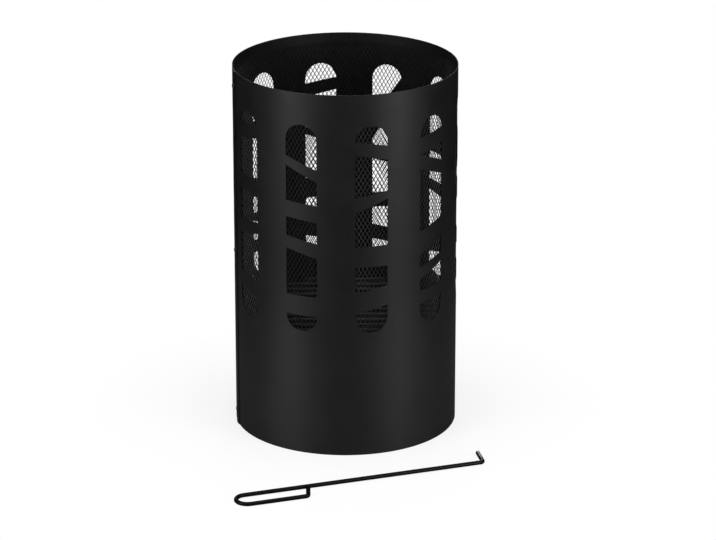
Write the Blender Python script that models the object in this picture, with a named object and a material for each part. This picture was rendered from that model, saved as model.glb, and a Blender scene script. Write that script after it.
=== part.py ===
"""A round steel fire basket that stands on the ground, with its poker lying in front of it.

Metres, with +Z up. The basket's axis is the Z axis and the ground is z = 0. Azimuths are in
degrees: 0 faces the front, -Y, and they grow towards +X.
"""

import math

import bmesh
import bpy
from mathutils import Matrix, Vector

# Clearances
TOUCH_GAP = 0.0003  # between two pieces that touch
HOLE_CLEARANCE = 0.0003  # around a screw's shank, in radius
PAN_CLEARANCE = 0.0150  # from the base flange in to the pan's rim, past the seam nuts
GRATE_CLEARANCE = 0.0170  # from the mesh liner in to the grate's ring
LEG_CLEARANCE = 0.0030  # from the pan's rounded corner in to the grate's legs

# Wall: one cut sheet, rolled up and screwed along a lap seam
WALL_DIAMETER = 0.360
WALL_HEIGHT = 0.600
WALL_THICKNESS = 0.0012
WALL_FLATS = 71  # flat strips that stand for the round
SEAM_LAP = 0.0150  # width over which the two ends of the sheet overlap
SEAM_SCREW_MARGIN = 0.0250  # from the wall's top and bottom edges to the end screws
SEAM_SCREW_COUNT = 3
JOGGLE_SHARE = 0.2  # of a flat's width, over which the sheet steps out to lie on itself

# Windows: columns with round ends, each crossed by slanted slats
COLUMN_COUNT = 10
FRONT_COLUMN_AZIMUTH = 13.2
WINDOW_WIDTH = 0.0525  # along the wall's outside
WINDOW_BOTTOM = 0.2075  # above the ground
WINDOW_TOP_MARGIN = 0.0510  # below the wall's top edge
OUTLINE_TOLERANCE = 0.0002  # how far a window's outline may leave the true curve
OUTLINE_STEPS = 60  # places across a window where its outline is worked out
OUTLINE_HALVINGS = 30  # to find where an opening closes
SMALLEST_STEP = 0.0001  # between two neighbouring points of an outline
# One slat: how far up the window its lower and upper edges are, in percent of the window's
# height, first at the window's left side and then at its right side
SLATS = {
    "A": [
        ((13.9, 20.7), (10.5, 19.1)),
        ((39.4, 46.6), (42.3, 47.6)),
        ((61.6, 69.0), (61.6, 67.1)),
        ((85.7, 93.9), (88.6, 94.4)),
    ],
    "B": [
        ((7.8, 17.5), (7.6, 17.0)),
        ((40.0, 46.1), (36.1, 43.2)),
        ((55.2, 63.0), (53.6, 61.7)),
        ((80.0, 84.7), (73.0, 78.6)),
    ],
    "C": [
        ((9.5, 19.5), (13.2, 22.7)),
        ((32.4, 41.9), (32.4, 42.5)),
        ((58.5, 65.7), (64.9, 68.6)),
        ((86.6, 92.7), (83.5, 90.2)),
    ],
    "D": [
        ((10.1, 16.3), (11.6, 17.7)),
        ((22.0, 28.0), (27.7, 32.0)),
        ((33.9, 45.4), (40.0, 49.5)),
        ((75.7, 82.9), (70.4, 76.9)),
        ((82.9, 90.7), (85.7, 93.0)),
    ],
    "E": [
        ((9.5, 16.8), (11.0, 18.3)),
        ((29.4, 37.3), (27.1, 34.4)),
        ((49.9, 56.4), (52.0, 59.3)),
        ((85.7, 94.7), (62.2, 73.4)),
    ],
}
COLUMN_ORDER = "CDEAECDBAB"  # from the front column on, towards +X

# Mesh liner: expanded metal behind the windows, drawn here with few and large diamonds
LINER_THICKNESS = 0.0012
LINER_TOP_MARGIN = 0.0150  # below the wall's top edge
LINER_BELOW_WINDOWS = 0.0175
LINER_SEAM_OPENING = 0.0150  # width left open for the seam nuts
LINER_BORDER = 0.0060  # plain edge around the diamonds
LINER_COLUMNS = 24  # diamonds around
LINER_HALF_ROWS = 11  # half diamonds up
STRAND_HEIGHT = 0.0060  # of a strand, measured upright

# Base plate: a round plate with a turned-up flange, held by the lowest seam screw
BASE_THICKNESS = 0.0012
BASE_CORNER = 0.0040
BASE_FLANGE_ABOVE_SCREW = 0.0100

# Seam fasteners
SCREW_DIAMETER = 0.0050
SCREW_HEAD_DIAMETER = 0.0095
SCREW_HEAD_HEIGHT = 0.0027
SCREW_HEAD_CURVE = (0.45, 0.80)  # shares of the head's height where its round side has points
SCREW_HEAD_CROWN = 0.35  # share of the head's radius that is flat at its top
SCREW_END = 0.0010  # past the nut
NUT_ACROSS_FLATS = 0.0080
NUT_THICKNESS = 0.0040

# Ash pan
PAN_THICKNESS = 0.0012
PAN_HEIGHT = 0.0400
PAN_CORNER = 0.0060
PAN_RIM = 0.0100  # width of the rim, turned outwards
PAN_HANDLE_ROD = 0.0050
PAN_HANDLE_WIDTH = 0.0700
PAN_HANDLE_ABOVE_RIM = 0.0350
PAN_HANDLE_ABOVE_FLOOR = 0.0080  # where the handle's ends stop, inside the pan

# Fire grate, which stands in the ash pan
GRATE_TOP = 0.1850  # above the ground
GRATE_RING_ROD = 0.0080
GRATE_LEG_ROD = 0.0080
GRATE_LEG_AZIMUTH = 35.5  # from the Y axis to each leg
GRATE_LEG_BEND = 0.0150
GRATE_BAR_ROD = 0.0060
GRATE_BAR_SPACING = 0.0240
GRATE_BAR_OVERHANG = 0.0020  # of the bars' ends, past the middle of the ring's rod
GRATE_HANDLE_ROD = 0.0060
GRATE_HANDLE_WIDTH = 0.0720
GRATE_HANDLE_HEIGHT = 0.0450  # above the bars
HANDLE_BEND = 0.0150

# Poker, which lies on the ground
POKER_ROD = 0.0070
POKER_SHAFT = 0.3980  # from the hairpin bend to the hook
POKER_HOOK = 0.0400
POKER_HOOK_TURN = 82.0
POKER_GRIP_WIDTH = 0.0360
POKER_GRIP_LENGTH = 0.0930  # straight run of the grip's second rod
POKER_RETURN_TURN = 72.0
POKER_BEND = 0.0060
POKER_STANDOFF = 0.0958  # from the wall to the shaft
POKER_AZIMUTH = 19.0  # where the shaft passes nearest to the wall
POKER_SHAFT_BEHIND = 0.2619  # length of shaft on the grip's side of that point

# Round shapes
TURNED_FLATS = 52
SCREW_FLATS = 12
RING_FLATS = 48
RING_SIDES = 8
ROD_SIDES = 10
BEND_STEPS = 4
POKER_BEND_STEPS = 6

WALL_RADIUS = WALL_DIAMETER / 2
LAP_ANGLE = math.degrees(SEAM_LAP / WALL_RADIUS)
COLUMN_PITCH = 360 / COLUMN_COUNT
SEAM_AZIMUTH = FRONT_COLUMN_AZIMUTH - 2.5 * COLUMN_PITCH
FLAT_ANGLE = (360 - LAP_ANGLE) / WALL_FLATS
WINDOW_HEIGHT = WALL_HEIGHT - WINDOW_TOP_MARGIN - WINDOW_BOTTOM
# The largest circle that fits inside the wall's flats
WIDEST_FLAT = max(LAP_ANGLE, FLAT_ANGLE)
WALL_INSIDE = (WALL_RADIUS - WALL_THICKNESS) * math.cos(math.radians(WIDEST_FLAT / 2))
BASE_RADIUS = WALL_INSIDE - TOUCH_GAP
BASE_FLANGE_HEIGHT = SEAM_SCREW_MARGIN + BASE_FLANGE_ABOVE_SCREW
LINER_RADIUS = WALL_INSIDE - TOUCH_GAP
PAN_RIM_RADIUS = BASE_RADIUS - BASE_THICKNESS - PAN_CLEARANCE
PAN_RADIUS = PAN_RIM_RADIUS - PAN_RIM
PAN_BOTTOM = BASE_THICKNESS + TOUCH_GAP
PAN_FLOOR = PAN_BOTTOM + PAN_THICKNESS
BAR_Z = GRATE_TOP - GRATE_BAR_ROD / 2
RING_Z = BAR_Z - GRATE_BAR_ROD / 2 - TOUCH_GAP - GRATE_RING_ROD / 2
LEG_FRAME_Z = BAR_Z - GRATE_BAR_ROD / 2 - TOUCH_GAP - GRATE_LEG_ROD / 2
RING_RADIUS = LINER_RADIUS - LINER_THICKNESS - GRATE_CLEARANCE - GRATE_RING_ROD / 2


def clear_scene():
    for thing in list(bpy.data.objects):
        bpy.data.objects.remove(thing)


def finish_material(name, colour, roughness, metallic):
    """A Principled material with one linear colour."""
    material = bpy.data.materials.new(name)
    material.use_nodes = True
    shader = material.node_tree.nodes["Principled BSDF"]
    shader.inputs["Base Color"].default_value = (*colour, 1.0)
    shader.inputs["Roughness"].default_value = roughness
    shader.inputs["Metallic"].default_value = metallic
    material.diffuse_color = (*colour, 1.0)
    return material


def add_object(name, mesh, material, parent=None):
    """Links a mesh or a curve as a named object. A parent is an empty, and the place stays."""
    thing = bpy.data.objects.new(name, mesh)
    bpy.context.scene.collection.objects.link(thing)
    thing.data.materials.append(material)
    if parent is not None:
        thing.parent = parent
        thing.matrix_parent_inverse = parent.matrix_world.inverted()
    return thing


def add_joint_empty(name, place):
    """An empty on the axis along which a loose piece lifts off."""
    empty = bpy.data.objects.new(name, None)
    bpy.context.scene.collection.objects.link(empty)
    empty.location = place
    empty.empty_display_size = 0.05
    bpy.context.view_layer.update()
    return empty


def mesh_from(bm, name, smooth_angle=30.0):
    """Turns a bmesh into a mesh with outward faces, smooth where its faces meet gently."""
    bmesh.ops.recalc_face_normals(bm, faces=bm.faces)
    mesh = bpy.data.meshes.new(name)
    bm.to_mesh(mesh)
    bm.free()
    mesh.shade_smooth()
    mesh.set_sharp_from_angle(angle=math.radians(smooth_angle))
    return mesh


def polar(radius, azimuth, z=0.0):
    """The point at that radius, azimuth and height."""
    angle = math.radians(azimuth)
    return Vector((radius * math.sin(angle), -radius * math.cos(angle), z))


def add_cutter(name, mesh):
    """A helper object whose shape is only cut out of others."""
    cutter = bpy.data.objects.new(name, mesh)
    bpy.context.scene.collection.objects.link(cutter)
    cutter.hide_render = True
    cutter.display_type = "WIRE"
    return cutter


def cut(thing, cutter, name):
    """Cuts a helper's shape out of an object with an exact Boolean."""
    boolean = thing.modifiers.new(name, "BOOLEAN")
    boolean.operation = "DIFFERENCE"
    boolean.solver = "EXACT"
    boolean.object = cutter


def turned(profile, flats, turn=0.0):
    """A bmesh made by spinning (radius, z) points about the Z axis.

    A profile that starts and ends on the axis closes there; any other is a closed loop.
    """
    bm = bmesh.new()
    points = [bm.verts.new((radius, 0.0, z)) for radius, z in profile]
    edges = [bm.edges.new(pair) for pair in zip(points, points[1:])]
    if profile[0][0] > 0:
        edges.append(bm.edges.new((points[-1], points[0])))
    bmesh.ops.rotate(bm, verts=bm.verts, matrix=Matrix.Rotation(math.radians(turn), 3, "Z"))
    bmesh.ops.spin(
        bm,
        geom=points + edges,
        axis=(0, 0, 1),
        cent=(0, 0, 0),
        angle=math.tau,
        steps=flats,
        use_merge=True,
    )
    bmesh.ops.remove_doubles(bm, verts=bm.verts, dist=1e-6)
    return bm


def quarter_arc(centre, radius, first_angle, last_angle, steps):
    """Points on an arc in the (radius, z) plane, ends included, angles in degrees."""
    points = []
    for i in range(steps + 1):
        angle = math.radians(first_angle + (last_angle - first_angle) * i / steps)
        points.append(
            (centre[0] + radius * math.cos(angle), centre[1] + radius * math.sin(angle))
        )
    return points


def dish_profile(radius, height, thickness, corner, rim, bottom):
    """Half the section of a round dish with a rounded corner and a rim turned outwards."""
    centre = (radius - corner, bottom + corner)
    top = bottom + height
    section = [(0.0, bottom)]
    section += quarter_arc(centre, corner, -90, 0, 2)
    if rim > 0:
        section += [(radius, top - thickness), (radius + rim, top - thickness)]
        section += [(radius + rim, top)]
    else:
        section += [(radius, top)]
    section += [(radius - thickness, top)]
    section += quarter_arc(centre, corner - thickness, 0, -90, 2)
    section += [(0.0, bottom + thickness)]
    return section


def bent_path(corners, bends, steps=BEND_STEPS):
    """Points of a bent rod: straight runs between corners, each rounded to its bend radius."""
    points = [corners[0]]
    for i in range(1, len(corners) - 1):
        before = (corners[i - 1] - corners[i]).normalized()
        after = (corners[i + 1] - corners[i]).normalized()
        half = before.angle(after) / 2
        setback = bends[i - 1] / math.tan(half)
        centre = corners[i] + (before + after).normalized() * bends[i - 1] / math.sin(half)
        first = corners[i] + before * setback - centre
        last = corners[i] + after * setback - centre
        sweep = first.angle(last)
        count = max(2, round(steps * sweep / (math.pi / 2)))
        for k in range(count + 1):
            share = k / count
            spoke = first * math.sin((1 - share) * sweep) + last * math.sin(share * sweep)
            points.append(centre + spoke / math.sin(sweep))
    points.append(corners[-1])
    return points


def rod(name, points, diameter, material, parent=None):
    """A round rod along a row of points, with flat ends."""
    curve = bpy.data.curves.new(name, "CURVE")
    curve.dimensions = "3D"
    curve.bevel_depth = diameter / 2
    curve.bevel_resolution = ROD_SIDES // 2 - 2
    curve.use_fill_caps = True
    spline = curve.splines.new("POLY")
    spline.points.add(len(points) - 1)
    for spot, point in zip(spline.points, points):
        spot.co = (*point, 1.0)
    return add_object(name, curve, material, parent)


def hoop_handle(name, middle, across, width, low, high, diameter, material, parent):
    """An upright hoop of rod, open below, whose two ends stop at the height low."""
    side = across * width / 2
    corners = [middle - side, middle - side, middle + side, middle + side]
    for corner, z in zip(corners, (low, high, high, low)):
        corner.z = z
    path = bent_path(corners, [HANDLE_BEND, HANDLE_BEND])
    return rod(name, path, diameter, material, parent)


def wall_folds():
    """(azimuth, step outwards) of each fold of the rolled sheet, from inner to outer end."""
    start = SEAM_AZIMUTH - LAP_ANGLE / 2
    step_out = WALL_THICKNESS + TOUCH_GAP
    joggle_end = start + 360 - FLAT_ANGLE * JOGGLE_SHARE
    folds = [(start, 0.0)]
    folds += [(start + LAP_ANGLE + i * FLAT_ANGLE, 0.0) for i in range(WALL_FLATS)]
    folds += [(joggle_end, step_out), (start + 360, step_out)]
    folds += [(start + 360 + LAP_ANGLE, step_out)]
    return folds


def wall_mesh():
    """The rolled sheet before its windows are cut."""
    bm = bmesh.new()
    rows = []
    for azimuth, step_out in wall_folds():
        outside = WALL_RADIUS + step_out
        inside = outside - WALL_THICKNESS
        corners = [
            polar(outside, azimuth, 0.0),
            polar(outside, azimuth, WALL_HEIGHT),
            polar(inside, azimuth, WALL_HEIGHT),
            polar(inside, azimuth, 0.0),
        ]
        rows.append([bm.verts.new(corner) for corner in corners])
    for row, next_row in zip(rows, rows[1:]):
        for i in range(4):
            j = (i + 1) % 4
            bm.faces.new((row[i], row[j], next_row[j], next_row[i]))
    bm.faces.new(rows[0])
    bm.faces.new(rows[-1])
    return mesh_from(bm, "outer_wall")


def window_edges(slats):
    """(lower edge, upper edge) of each opening of one column, from the bottom up.

    An edge is its height at the window's left and right sides, in percent, or None at an end.
    """
    lower = [None] + [(left[1], right[1]) for left, right in slats]
    upper = [(left[0], right[0]) for left, right in slats] + [None]
    return list(zip(lower, upper))


def edge_height(edge, x):
    """Height of a slat's edge at x, which is measured from the window's middle."""
    share = x / WINDOW_WIDTH + 0.5
    percent = edge[0] + (edge[1] - edge[0]) * share
    return WINDOW_BOTTOM + WINDOW_HEIGHT * percent / 100


def opening_span(x, lower, upper):
    """(lowest, highest) point of an opening at x, inside the window's round ends."""
    cap = WINDOW_WIDTH / 2
    rise = cap - math.sqrt(max(0.0, cap * cap - x * x))
    low = WINDOW_BOTTOM + rise
    high = WINDOW_BOTTOM + WINDOW_HEIGHT - rise
    if lower is not None:
        low = max(low, edge_height(lower, x))
    if upper is not None:
        high = min(high, edge_height(upper, x))
    return low, high


def opening_end(inside, outside, lower, upper):
    """The place between two x values where an opening closes, or its side if it is open there."""
    low, high = opening_span(outside, lower, upper)
    if high > low:
        return outside
    for _ in range(OUTLINE_HALVINGS):
        middle = (inside + outside) / 2
        low, high = opening_span(middle, lower, upper)
        if high > low:
            inside = middle
        else:
            outside = middle
    return inside


def simplified(points, tolerance):
    """The fewest of a row of points that stay within tolerance of all the others."""
    if len(points) < 3:
        return points
    first, last = Vector(points[0]), Vector(points[-1])
    chord = last - first
    worst, worst_offset = 0, 0.0
    for i in range(1, len(points) - 1):
        offset = abs(chord.cross(Vector(points[i]) - first)) / max(chord.length, 1e-9)
        if offset > worst_offset:
            worst, worst_offset = i, offset
    if worst_offset <= tolerance:
        return [points[0], points[-1]]
    head = simplified(points[: worst + 1], tolerance)
    return head[:-1] + simplified(points[worst:], tolerance)


def opening_outline(lower, upper):
    """The (x, z) points round one opening, with x along the wall from the column's middle.

    There are none where the slats leave nothing open.
    """
    side = WINDOW_WIDTH / 2
    turns = [math.pi * i / OUTLINE_STEPS for i in range(OUTLINE_STEPS + 1)]
    samples = [-side * math.cos(turn) for turn in turns]
    spans = [opening_span(x, lower, upper) for x in samples]
    is_open = [i for i, (low, high) in enumerate(spans) if high - low > TOUCH_GAP]
    if not is_open:
        return []
    first, last = is_open[0], is_open[-1]
    left = opening_end(samples[first], samples[max(first - 1, 0)], lower, upper)
    right = opening_end(samples[last], samples[min(last + 1, OUTLINE_STEPS)], lower, upper)
    between = [x for x in samples if left + SMALLEST_STEP < x < right - SMALLEST_STEP]
    places = [left] + between + [right]
    floor_line, roof_line = [], []
    for x in places:
        low, high = opening_span(x, lower, upper)
        floor_line.append((x, low))
        if high - low > SMALLEST_STEP:
            roof_line.append((x, high))
    floor_line = simplified(floor_line, OUTLINE_TOLERANCE)
    return floor_line + simplified(roof_line, OUTLINE_TOLERANCE)[::-1]


def window_cutter():
    """One closed prism for each opening, reaching through the wall from inside to outside."""
    bm = bmesh.new()
    reach = WINDOW_WIDTH**2 / WALL_RADIUS  # more than the wall bulges across a window
    for column in range(COLUMN_COUNT):
        middle = FRONT_COLUMN_AZIMUTH + column * COLUMN_PITCH
        for lower, upper in window_edges(SLATS[COLUMN_ORDER[column % len(COLUMN_ORDER)]]):
            outline = opening_outline(lower, upper)
            if not outline:
                continue
            rings = []
            for radius in (WALL_RADIUS - WALL_THICKNESS - reach, WALL_RADIUS + reach):
                ring = []
                for x, z in outline:
                    azimuth = middle + math.degrees(x / WALL_RADIUS)
                    ring.append(bm.verts.new(polar(radius, azimuth, z)))
                rings.append(ring)
            count = len(outline)
            for i in range(count):
                j = (i + 1) % count
                bm.faces.new((rings[0][i], rings[0][j], rings[1][j], rings[1][i]))
            caps = [bm.faces.new(rings[0][::-1]), bm.faces.new(rings[1])]
            bmesh.ops.triangulate(bm, faces=caps)
    return add_cutter("window_cutter", mesh_from(bm, "window_cutter"))


def seam_frames():
    """A frame for each seam screw: +Z points outwards and the origin is on the basket's axis."""
    spacing = (WALL_HEIGHT - 2 * SEAM_SCREW_MARGIN) / (SEAM_SCREW_COUNT - 1)
    outwards = polar(1.0, SEAM_AZIMUTH)
    turn = outwards.to_track_quat("Z", "Y").to_matrix().to_4x4()
    heights = [SEAM_SCREW_MARGIN + i * spacing for i in range(SEAM_SCREW_COUNT)]
    return [Matrix.Translation((0, 0, z)) @ turn for z in heights]


def merged(pieces):
    """One bmesh from several, each with its own matrix."""
    whole = bmesh.new()
    for bm, matrix in pieces:
        bm.transform(matrix)
        mesh = bpy.data.meshes.new("piece")
        bm.to_mesh(mesh)
        bm.free()
        whole.from_mesh(mesh)
        bpy.data.meshes.remove(mesh)
    return whole


def seam_seats():
    """(nut face, head face) of each seam screw, as distances from the basket's axis."""
    flat = math.cos(math.radians(LAP_ANGLE / 2))
    head = (WALL_RADIUS + WALL_THICKNESS + TOUCH_GAP) * flat + TOUCH_GAP
    wall_face = (WALL_RADIUS - WALL_THICKNESS) * flat - TOUCH_GAP
    flange_flat = math.cos(math.pi / TURNED_FLATS)
    flange_face = (BASE_RADIUS - BASE_THICKNESS) * flange_flat - TOUCH_GAP
    seats = [(wall_face, head)] * SEAM_SCREW_COUNT
    seats[0] = (flange_face, head)  # the lowest screw also holds the base plate's flange
    return seats


def seam_hole_cutter():
    """Cylinders for the screw holes through both leaves of the seam and the base flange."""
    pieces = []
    for frame, (nut_face, head_face) in zip(seam_frames(), seam_seats()):
        radius = SCREW_DIAMETER / 2 + HOLE_CLEARANCE
        low = nut_face - NUT_THICKNESS
        high = head_face + SCREW_HEAD_HEIGHT
        section = [(0, low), (radius, low), (radius, high), (0, high)]
        pieces.append((turned(section, SCREW_FLATS), frame))
    return add_cutter("seam_hole_cutter", mesh_from(merged(pieces), "seam_holes"))


def seam_screws(material):
    """Round-headed screws through the lap seam, heads outside."""
    shank = SCREW_DIAMETER / 2
    head = SCREW_HEAD_DIAMETER / 2
    for number, (frame, seat) in enumerate(zip(seam_frames(), seam_seats()), 1):
        nut_face, head_face = seat
        end = nut_face - NUT_THICKNESS - SCREW_END
        section = [(0, end), (shank, end), (shank, head_face), (head, head_face)]
        for share in SCREW_HEAD_CURVE:
            rise = SCREW_HEAD_HEIGHT * share
            section.append((head * math.sqrt(1 - share**2), head_face + rise))
        top = head_face + SCREW_HEAD_HEIGHT
        section += [(head * SCREW_HEAD_CROWN, top), (0, top)]
        name = f"seam_screw_{number}"
        screw = add_object(name, mesh_from(turned(section, SCREW_FLATS), name), material)
        screw.matrix_world = frame


def seam_nuts(material):
    """Hexagon nuts on the seam screws, inside the basket."""
    corner = NUT_ACROSS_FLATS / math.sqrt(3)
    bore = SCREW_DIAMETER / 2 + HOLE_CLEARANCE
    for number, (frame, seat) in enumerate(zip(seam_frames(), seam_seats()), 1):
        high = seat[0]
        low = high - NUT_THICKNESS
        name = f"seam_nut_{number}"
        hexagon = turned([(0, low), (corner, low), (corner, high), (0, high)], 6)
        nut = add_object(name, mesh_from(hexagon, name), material)
        nut.matrix_world = frame
        hole = [(0, low - NUT_THICKNESS), (bore, low - NUT_THICKNESS)]
        hole += [(bore, high + NUT_THICKNESS), (0, high + NUT_THICKNESS)]
        bore_mesh = mesh_from(turned(hole, SCREW_FLATS), "nut_bore")
        cutter = add_cutter(f"nut_bore_{number}", bore_mesh)
        cutter.matrix_world = frame
        cut(nut, cutter, "bore")


def liner_mesh():
    """The liner's outer surface, one flat strip for each half diamond around.

    Strands cross on the folds. A diamond centred on a fold is cut from the strips on both
    sides of it, so a strip is one polygon with notches in its left and right edges.
    """
    opening = math.degrees(LINER_SEAM_OPENING / LINER_RADIUS)
    border = math.degrees(LINER_BORDER / LINER_RADIUS)
    start = SEAM_AZIMUTH + opening / 2 + border
    strips = 2 * LINER_COLUMNS
    strip_angle = (360 - opening - 2 * border) / strips
    bottom = WINDOW_BOTTOM - LINER_BELOW_WINDOWS
    top = WALL_HEIGHT - LINER_TOP_MARGIN
    low, high = bottom + LINER_BORDER, top - LINER_BORDER
    half_row = (high - low) / LINER_HALF_ROWS
    # Share of a strip's width that a strand's crossing takes
    crossing = STRAND_HEIGHT / 2 / half_row

    bm = bmesh.new()
    known = {}

    def point(across, z):
        """The vertex at a place across the strips, counted in strips, and a height."""
        key = (round(across, 6), round(z, 7))
        if key not in known:
            fold = min(math.floor(across + 1e-9), strips - 1)
            left = polar(LINER_RADIUS, start + fold * strip_angle, z)
            right = polar(LINER_RADIUS, start + (fold + 1) * strip_angle, z)
            if across < 0:
                spot = polar(LINER_RADIUS, start - border, z)
            elif across > strips:
                spot = polar(LINER_RADIUS, start + strips * strip_angle + border, z)
            else:
                spot = left.lerp(right, across - fold)
            known[key] = bm.verts.new(spot)
        return known[key]

    def side(fold, tip):
        """One long edge of a strip, going up: at the fold, notched as far as tip."""
        edge = [point(fold, bottom)]
        for j in range(LINER_HALF_ROWS + 1):
            if (fold + j) % 2 == 0:
                continue
            z = low + j * half_row
            edge.append(point(fold, max(low, z - half_row + STRAND_HEIGHT / 2)))
            if tip is not None:
                edge.append(point(tip, z))
            edge.append(point(fold, min(high, z + half_row - STRAND_HEIGHT / 2)))
        edge.append(point(fold, top))
        return edge

    edge_left = [point(-1, bottom), point(-1, top)]
    edge_right = [point(strips + 1, bottom), point(strips + 1, top)]
    bm.faces.new(side(0, None) + edge_left[::-1])
    for i in range(strips):
        left = side(i, i + 1 - crossing)
        right = side(i + 1, i + crossing)
        bm.faces.new(right + left[::-1])
    bm.faces.new(edge_right + side(strips, None)[::-1])
    return mesh_from(bm, "mesh_liner")


def point_outwards(mesh):
    """Turns an open surface round the basket so that its faces point away from the axis."""
    face = mesh.polygons[len(mesh.polygons) // 2]
    if face.normal.dot(Vector((face.center.x, face.center.y, 0))) < 0:
        mesh.flip_normals()


def make_basket(paint, mesh_steel, screw_steel, nut_steel):
    """The fixed pieces: base plate, wall, liner and the fasteners of the seam."""
    windows = window_cutter()
    holes = seam_hole_cutter()

    wall = add_object("outer_wall", wall_mesh(), paint)
    cut(wall, windows, "windows")
    cut(wall, holes, "seam_holes")

    section = dish_profile(BASE_RADIUS, BASE_FLANGE_HEIGHT, BASE_THICKNESS, BASE_CORNER, 0.0, 0.0)
    # A flat of the flange, not a fold, faces the seam
    turn = SEAM_AZIMUTH - 90 + 180 / TURNED_FLATS
    base = mesh_from(turned(section, TURNED_FLATS, turn), "base_plate")
    base_plate = add_object("base_plate", base, paint)
    cut(base_plate, holes, "screw_hole")

    surface = liner_mesh()
    point_outwards(surface)
    liner = add_object("mesh_liner", surface, mesh_steel)
    sheet = liner.modifiers.new("thickness", "SOLIDIFY")
    sheet.thickness = LINER_THICKNESS
    sheet.offset = -1.0
    sheet.use_even_offset = True

    seam_screws(screw_steel)
    seam_nuts(nut_steel)


def make_ash_pan(pan_steel, rod_steel):
    """The pan stands on the base plate and lifts out by its two hoops."""
    lift = add_joint_empty("ash_pan_lift", (0, 0, PAN_BOTTOM))
    section = dish_profile(PAN_RADIUS, PAN_HEIGHT, PAN_THICKNESS, PAN_CORNER, PAN_RIM, PAN_BOTTOM)
    pan = mesh_from(turned(section, TURNED_FLATS), "ash_pan")
    add_object("ash_pan", pan, pan_steel, lift)

    # The hoop's ends stand against the inside of the pan's wall
    inside = (PAN_RADIUS - PAN_THICKNESS) * math.cos(math.pi / TURNED_FLATS)
    seat = inside - TOUCH_GAP - PAN_HANDLE_ROD / 2
    depth = math.sqrt(seat**2 - (PAN_HANDLE_WIDTH / 2) ** 2)
    low = PAN_FLOOR + PAN_HANDLE_ABOVE_FLOOR
    high = PAN_BOTTOM + PAN_HEIGHT + PAN_HANDLE_ABOVE_RIM
    for number, way in ((1, -1), (2, 1)):
        hoop_handle(
            f"pan_handle_{number}",
            Vector((0, way * depth, 0)),
            Vector((1, 0, 0)),
            PAN_HANDLE_WIDTH,
            low,
            high,
            PAN_HANDLE_ROD,
            rod_steel,
            lift,
        )


def make_grate(grate_steel):
    """The grate: bars on a ring and on two bent leg frames that stand in the ash pan."""
    lift = add_joint_empty("fire_grate_lift", (0, 0, PAN_FLOOR))

    ring_section = []
    for i in range(RING_SIDES):
        angle = math.tau * (i + 0.5) / RING_SIDES
        out = RING_RADIUS + GRATE_RING_ROD / 2 * math.cos(angle)
        up = RING_Z + GRATE_RING_ROD / 2 * math.sin(angle)
        ring_section.append((out, up))
    ring = mesh_from(turned(ring_section, RING_FLATS), "grate_ring")
    add_object("grate_ring", ring, grate_steel, lift)

    # Legs stand on the flat of the pan's floor
    leg_radius = PAN_RADIUS - PAN_CORNER - GRATE_LEG_ROD / 2 - LEG_CLEARANCE
    leg_x = leg_radius * math.sin(math.radians(GRATE_LEG_AZIMUTH))
    leg_y = leg_radius * math.cos(math.radians(GRATE_LEG_AZIMUTH))
    foot = PAN_FLOOR + TOUCH_GAP
    for number, x in ((1, -leg_x), (2, leg_x)):
        corners = [
            Vector((x, -leg_y, foot)),
            Vector((x, -leg_y, LEG_FRAME_Z)),
            Vector((x, leg_y, LEG_FRAME_Z)),
            Vector((x, leg_y, foot)),
        ]
        path = bent_path(corners, [GRATE_LEG_BEND, GRATE_LEG_BEND])
        rod(f"grate_leg_frame_{number}", path, GRATE_LEG_ROD, grate_steel, lift)

    reach = RING_RADIUS + GRATE_BAR_OVERHANG
    each_side = math.floor((RING_RADIUS - GRATE_RING_ROD / 2) / GRATE_BAR_SPACING)
    for number in range(2 * each_side + 1):
        y = (number - each_side) * GRATE_BAR_SPACING
        half = math.sqrt(reach**2 - y**2)
        ends = [Vector((-half, y, BAR_Z)), Vector((half, y, BAR_Z))]
        rod(f"grate_bar_{number + 1:02d}", ends, GRATE_BAR_ROD, grate_steel, lift)

    # The hoops stand on the ring, each of their ends between two bars
    low = RING_Z + GRATE_RING_ROD / 2 + TOUCH_GAP
    x = math.sqrt(RING_RADIUS**2 - (GRATE_HANDLE_WIDTH / 2) ** 2)
    for number, way in ((1, -1), (2, 1)):
        hoop_handle(
            f"grate_handle_{number}",
            Vector((way * x, 0, 0)),
            Vector((0, 1, 0)),
            GRATE_HANDLE_WIDTH,
            low,
            GRATE_TOP + GRATE_HANDLE_HEIGHT,
            GRATE_HANDLE_ROD,
            grate_steel,
            lift,
        )


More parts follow.
